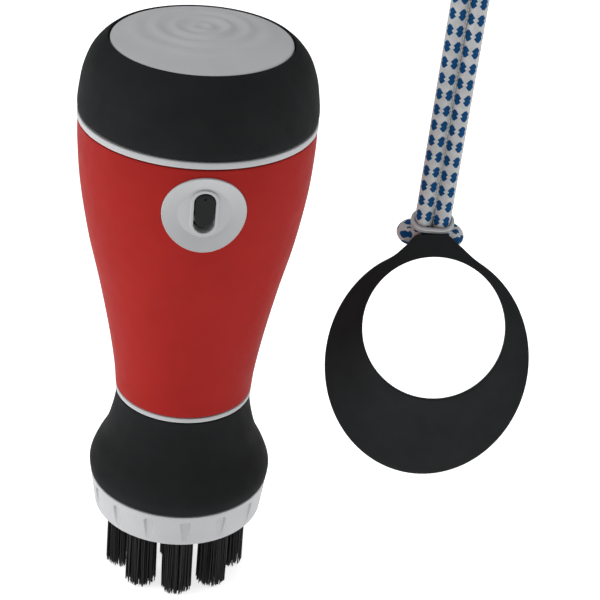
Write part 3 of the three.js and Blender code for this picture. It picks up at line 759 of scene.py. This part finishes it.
def make_tuft(node, seed, materials):
    """Some 240 nylon filaments that spread a little towards ragged tips."""
    pick = random.Random(seed)
    low, high = span(node)
    centre = (low + high) / 2
    tip_r, root_r = (high.x - low.x) / 2 - 0.02, 3.7
    root_z = 19.55  # just under the plate
    count, sides, rows, thick = 240, 5, 6, 0.17
    points, faces, shade_of = [], [], []
    for k in range(count):
        share = math.sqrt((k + 0.5) / count)
        a = k * 2.39996 + pick.uniform(-0.15, 0.15)
        out = root_r * share
        root = np.array((centre.x + out * math.cos(a), centre.y + out * math.sin(a), root_z))
        splay = min(share + pick.gauss(0, 0.035), 1.0)
        lean = a + pick.gauss(0, 0.05)
        up = 0.4 * share**6 + abs(pick.gauss(0, 0.36))
        out = tip_r * splay
        tip = np.array((centre.x + out * math.cos(lean), centre.y + out * math.sin(lean), up))
        bow = np.array((math.cos(a), math.sin(a), 0)) * pick.gauss(0.05, 0.08)
        tone = pick.random() ** 2
        start = len(points)
        for row in range(rows):
            t = row / (rows - 1)
            at = root + (tip - root) * t + bow * math.sin(math.pi * t)
            r = thick * (1 - 0.25 * t)
            for s in range(sides):
                b = 2 * math.pi * s / sides + a
                slant = 0.25 * math.cos(b) * (row == rows - 1)
                points.append((at[0] + r * math.cos(b), at[1] + r * math.sin(b), max(at[2] + slant, 0.0)))
                shade_of.append(tone)
        faces += [tuple(start + i for i in f) for f in skin_faces(rows, sides, loop=False)]
        faces.append(tuple(start + i for i in range(sides)))
        faces.append(tuple(start + (rows - 1) * sides + i for i in range(sides)))
    tuft = piece("bristles_" + node, points, faces, sharp=60)
    strand = tuft.data.attributes.new("strand", "FLOAT", "POINT")
    strand.data.foreach_set("value", shade_of)
    finish_piece(tuft, "head", "bristle", materials, node)


# ---- the soft ring ----
RING = {
    "hole": 17.5, "rim": (-0.6, -9.5), "a": 25.2, "b": 28.9, "cone": math.radians(28),
    "wall": 2.2, "head": 1.3, "soft": 0.6,
}
# The hook behind the tab. Its root lies in the leaning frame: low, high, back. Its flap and lip stand in the
# upright frame: the flap's front, back, foot and top, then the lip's back and underside.
HOOK = {"width": 6.8, "root": (17.7, 19.1, -8.6), "flap": (15.05, 15.95, 13.0, 21.3, 18.6, 20.45)}


def rim_reach(angle):
    """Distance from the hole's centre to the crescent's elliptic rim."""
    c, s = math.cos(angle), math.sin(angle)
    (x, y), a, b = RING["rim"], RING["a"], RING["b"]
    qa = (c / a) ** 2 + (s / b) ** 2
    qb = c * x / a**2 + s * y / b**2
    qc = (x / a) ** 2 + (y / b) ** 2 - 1
    return (qb + math.sqrt(qb * qb - qa * qc)) / qa


def tab_side():
    """Half of the tab's outline, from the middle of its top to the ring."""
    run = [(0, 23.15), (1.0, 23.15), (2.0, 23.15), (3.0, 23.13), (3.6, 23.05), (3.95, 22.91)]
    run += [(4.2, 22.7), (4.5, 22.45), (5.1, 21.85), (5.5, 21.4)]
    start, bend, end = (np.array(p) for p in ((5.75, 21.1), (6.9, 19.8), (12.6, 16.0)))
    for k in range(13):
        t = k / 12
        run.append(tuple((1 - t) ** 2 * start + 2 * t * (1 - t) * bend + t**2 * end))
    return run


def make_holder(materials):
    middle = math.pi / 2 + TAB_TURN
    side = [(math.atan2(x, y), math.hypot(x, y)) for x, y in tab_side()]
    spokes = [(middle + a, r) for a, r in reversed(side)] + [(middle - a, r) for a, r in side[1:]]
    reach = side[-1][0]
    around = 150
    for k in range(1, around):
        angle = middle - reach - k * (2 * math.pi - 2 * reach) / around
        spokes.append((angle, rim_reach(angle)))
    # The tab's fillets run out smoothly on the rim.
    run_out = math.radians(20)
    for i, (angle, r) in enumerate(spokes):
        rim = rim_reach(angle)
        spokes[i] = (angle, rim + max(r - rim, 0) * ease((reach - abs(angle - middle)) / run_out))
    thick = RING["wall"] / math.cos(RING["cone"])
    rings = []
    for angle, outer in spokes:
        away = abs(math.remainder(angle - middle, 2 * math.pi))
        band = ease((away - math.radians(16)) / math.radians(26))
        slope = math.tan(RING["cone"]) * band
        depth = RING["wall"] + (thick - RING["wall"]) * band
        hole, width = RING["hole"], outer - RING["hole"]
        soft = min(RING["soft"], width * 0.45)
        sag = 0.35 * min(width / 12, 1) * band

        def drop(t):
            return -slope * width * t - sag * 4 * t * (1 - t)

        steps = np.linspace(0, 1, 13)
        top = [(hole + width * t, drop(t)) for t in steps]
        # The tab's head is thinner than the ring, for the cord behind it.
        thin = [(1 - band) * (RING["wall"] - RING["head"]) * ease((r - 19.4) / 0.5) for r, _ in top]
        below = [(r, w - depth + less) for (r, w), less in zip(reversed(top), reversed(thin))]
        section = rounded([
            (*p, (soft, soft, 0.4, 0.4)[(0, 12, 25, 13).index(i)] if i in (0, 12, 13, 25) else 0)
            for i, p in enumerate([*top, *below])
        ], 4)
        rings.append([(r * math.cos(angle), r * math.sin(angle), w) for r, w in section])
    ring = skin("soft_ring", rings, sharp=50)
    side = HOOK["width"] / 2
    low, high, back = HOOK["root"]
    root = box_between("cutter", (-side, low, back), (side, high, -RING["wall"] / 2), 0.4)
    boolean(ring, moved(root, Matrix.Rotation(TAB_TURN, 4, "Z")), "UNION", sharp=50)
    moved(ring, LEANING)
    y, flap_back, foot, top, lip_back, lip_low = HOOK["flap"]
    for far, bottom in ((flap_back, foot), (lip_back, lip_low)):
        wall = box_between("cutter", (HITCH_X - side, y, bottom), (HITCH_X + side, far, top), 0.3)
        boolean(ring, moved(wall, UPRIGHT), "UNION", sharp=50)
    finish_piece(ring, "lanyard", "black_rubber", materials, "holder_ring")


def box_between(name, low, high, soft):
    """A box whose four upright edges are rounded."""
    (x0, y0, z0), (x1, y1, z1) = low, high
    outline = rounded([(x1, y1, soft), (x0, y1, soft), (x0, y0, soft), (x1, y0, soft)], 3)
    return skin(name, [[(x, y, z) for x, y in outline] for z in (z0, z1)], loop=False, sharp=40)


def pill_corners():
    """A rounded square of half-width 1."""
    return [(x, y, 0) for x, y in rounded([(1, 1, 0.5), (-1, 1, 0.5), (-1, -1, 0.5), (1, -1, 0.5)], 4)]


def make_keeper(materials):
    """A moulded oval ring with two ridges round its outside."""
    gap, bar, lean = 0.14, 0.9, math.radians(25)
    width = 4.4 + CORD + 2 * gap
    depth = (CORD + 2 * gap) / math.cos(lean)
    section = [
        (0.0, -0.55), (0.12, -0.7), (0.4, -0.75), (0.8, -0.75), (1.02, -0.66), (1.13, -0.48), (1.13, -0.34),
        (0.9, -0.24), (0.62, -0.14), (0.62, 0.14), (0.9, 0.24), (1.13, 0.34), (1.13, 0.48), (1.02, 0.66),
        (0.8, 0.75), (0.4, 0.75), (0.12, 0.7), (0.0, 0.55),
    ]
    angles = even_angles(160)
    rings = []
    for out, z in section:
        grow = 2 * out * bar / 1.13
        ring = pill_ring(depth + grow, width + grow, z, angles)
        rings.append([(y, x, w) for x, y, w in ring])
    keeper = skin("oval_keeper", rings, sharp=60)
    settled = 0.45  # it has slid down to the tab
    spot = Matrix.Translation((HITCH_X, STRAND_Y, KEEPER_Z - settled))
    keeper = moved(keeper, UPRIGHT @ spot @ Matrix.Rotation(lean, 4, "X"))
    finish_piece(keeper, "lanyard", "grey_plastic", materials, "cord_keeper")


def make_clamp(materials):
    """The moulded block that holds both cord ends, with finger ribs, and its lug with an eye."""
    low, top, width, depth = 86.0, 95.0, 12.4, 7.2
    angles = even_angles(128)
    levels = [(0.7, low), (0.25, low + 0.1), (0.0, low + 0.6)]
    for k in range(4):
        z = low + 1.5 + k * 1.7
        levels += [(0.0, z), (0.28, z + 0.25), (0.28, z + 0.6), (0.0, z + 0.85)]
    levels += [(0.0, top - 0.7), (0.2, top - 0.25), (0.7, top)]
    rings = []
    for inset, z in levels:
        ring = pill_ring(depth - 2 * inset, width - 2 * inset, z, angles)
        rings.append([(y, x, w) for x, y, w in ring])
    clamp = skin("end_clamp", rings, loop=False, sharp=50)
    lug_rings = []
    for shrink, up in ((1.0, -1), (1.0, 5.6), (0.97, 6.4), (0.86, 6.85), (0.6, 7.0)):
        lug_rings.append([(x * 1.6 * shrink, y * 3.1 * shrink, top + up) for x, y, _ in pill_corners()])
    boolean(clamp, skin("cutter", lug_rings, loop=False), "UNION", sharp=50)
    eye = moved(turned("cutter", [(1.6, -5), (1.6, 5)], 48, loop=False), Matrix.Rotation(math.pi / 2, 4, "Y"))
    boolean(clamp, moved(eye, Matrix.Translation((0, 0, top + 4))), sharp=50)
    place = UPRIGHT @ Matrix.Translation((HITCH_X + leant(low), STRAND_Y, 0))
    return finish_piece(moved(clamp, place), "lanyard", "black_gloss", materials, "cord_end_clamp")


def make_split_ring(materials):
    """Nearly two turns of flat spring steel that step over each other."""
    radius, apart, turns = 7.5, 0.46, 1.94
    steps, section = 260, [(x * 0.72, y * 0.42) for x, y, _ in pill_corners()]
    rings = []
    for k in range(steps + 1):
        share = k / steps
        a = turns * 2 * math.pi * share + 0.6
        across = apart * (2 * ease((share - 0.5) / 0.08 + 0.5) - 1)
        ring = []
        for x, y in section:
            r = radius + x
            ring.append((r * math.cos(a), across + y, r * math.sin(a)))
        rings.append(ring)
    ring = skin("key_ring", rings, loop=False, sharp=50)
    place = UPRIGHT @ Matrix.Translation((HITCH_X + leant(86.0), STRAND_Y, 99 + radius))
    return finish_piece(moved(ring, place), "hanger", "steel", materials, "split_ring")


# ---- putting it together ----
def finish_piece(obj, body, slot, materials, node):
    """Gives a new piece the material of its slot, parents it to the empty of the body it rides on and hides
    the CAD node it stands for.
    """
    if not obj.data.materials:
        obj.data.materials.append(materials[slot])
    else:
        for k in range(len(obj.data.materials)):
            obj.data.materials[k] = materials[slot]
    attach(obj, body)
    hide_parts(node)
    return obj


def make_materials():
    return {
        "red_plastic": moulded("red_plastic", (160, 35, 31), 0.6, mottle=0.04, grain_depth=0.008, gloss=0.06),
        "black_soft": moulded(
            "black_soft", (33, 34, 35), 0.8, mottle=0.1, grain_mm=0.25, gloss=0.08, edge_highlight_amount=0.05
        ),
        "grey_plastic": moulded(
            "grey_plastic", (190, 191, 193), 0.48, mottle=0.025, grain_depth=0.006, gloss=0.4
        ),
        "black_gloss": moulded("black_gloss", (27, 28, 29), 0.5, mottle=0.1, gloss=0.15, edge_highlight_amount=0.05),
        "black_rubber": moulded(
            "black_rubber", (34, 36, 37), 0.75, mottle=0.12, grain_mm=0.3, gloss=0.1, edge_highlight_amount=0.05
        ),
        "seal_rubber": moulded("seal_rubber", (42, 42, 42), 0.8),
        "bristle": filament("bristle"),
        "tank_plastic": translucent("tank_plastic", (222, 229, 232)),
        "inner_plastic": moulded("inner_plastic", (225, 225, 220), 0.5),
        "braided_cord": braid_material(),
        "steel": metal("steel", (196, 198, 200)),
    }


def dress_cad_nodes(materials):
    """The CAD nodes that stay get the finish of their slot."""
    for part in frame["record"]["subparts"]:
        obj = frame["nodes"][part["node"]]
        if not obj.data.materials:
            obj.data.materials.append(materials[part["material_slot"]])
        for slot in obj.material_slots:
            slot.link = "OBJECT"
            slot.material = materials[part["material_slot"]]


def make_stage():
    floor = bpy.data.meshes.new("floor")
    half = 3.0
    corners = [(-half, -half, 0), (half, -half, 0), (half, half, 0), (-half, half, 0)]
    floor.from_pydata(corners, [], [(0, 1, 2, 3)])
    obj = bpy.data.objects.new("floor", floor)
    bpy.context.collection.objects.link(obj)
    n = Nodes("floor")
    n.shader.inputs["Base Color"].default_value = (0.92, 0.92, 0.92, 1)
    n.shader.inputs["Roughness"].default_value = 0.9
    n.shader.inputs["Specular IOR Level"].default_value = 0.1
    n.shader.inputs["Emission Color"].default_value = (1, 1, 1, 1)
    n.shader.inputs["Emission Strength"].default_value = 0.75
    floor.materials.append(n.material)


def area_light(name, at, towards, size, power, colour=(1, 1, 1)):
    data = bpy.data.lights.new(name, "AREA")
    data.shape = "RECTANGLE"
    data.size, data.size_y = size
    data.energy = power
    data.color = colour
    lamp = bpy.data.objects.new(name, data)
    lamp.location = at
    lamp.rotation_mode = "QUATERNION"
    lamp.rotation_quaternion = (Vector(towards) - Vector(at)).to_track_quat("-Z", "Y")
    bpy.context.collection.objects.link(lamp)


def make_lights():
    middle = (0.02, 0, 0.08)
    area_light("key", (-0.9, -0.12, 0.45), middle, (0.5, 0.8), 4.4)
    area_light("right", (0.85, -0.05, 0.35), middle, (0.4, 0.8), 1.9)
    area_light("above", (0.0, 0.15, 1.1), middle, (0.9, 0.9), 3.9)
    world = bpy.data.worlds.new("world")
    world.use_nodes = True
    back = world.node_tree.nodes["Background"]
    back.inputs[0].default_value = (1, 1, 1, 1)
    back.inputs[1].default_value = 0.2
    bpy.context.scene.world = world
    bpy.context.scene.view_settings.view_transform = "Standard"


make_camera()
materials = make_materials()
cord, cord_line, cord_length = make_cord(materials["braided_cord"])
finish_piece(cord, "lanyard", "braided_cord", materials, "lanyard_cord")
clamp = make_clamp(materials)
split_ring = make_split_ring(materials)
make_shell(materials)
make_trims(materials)
make_flare(materials)
make_cap(materials)
make_button(materials)
make_bezel(materials)
make_knob(materials)
make_collar(materials)
for number, node in enumerate(["tuft_centre", *(f"tuft_{k}" for k in range(1, 10))]):
    make_tuft(node, 20 + number, materials)
make_holder(materials)
make_keeper(materials)
dress_cad_nodes(materials)
make_stage()
make_lights()
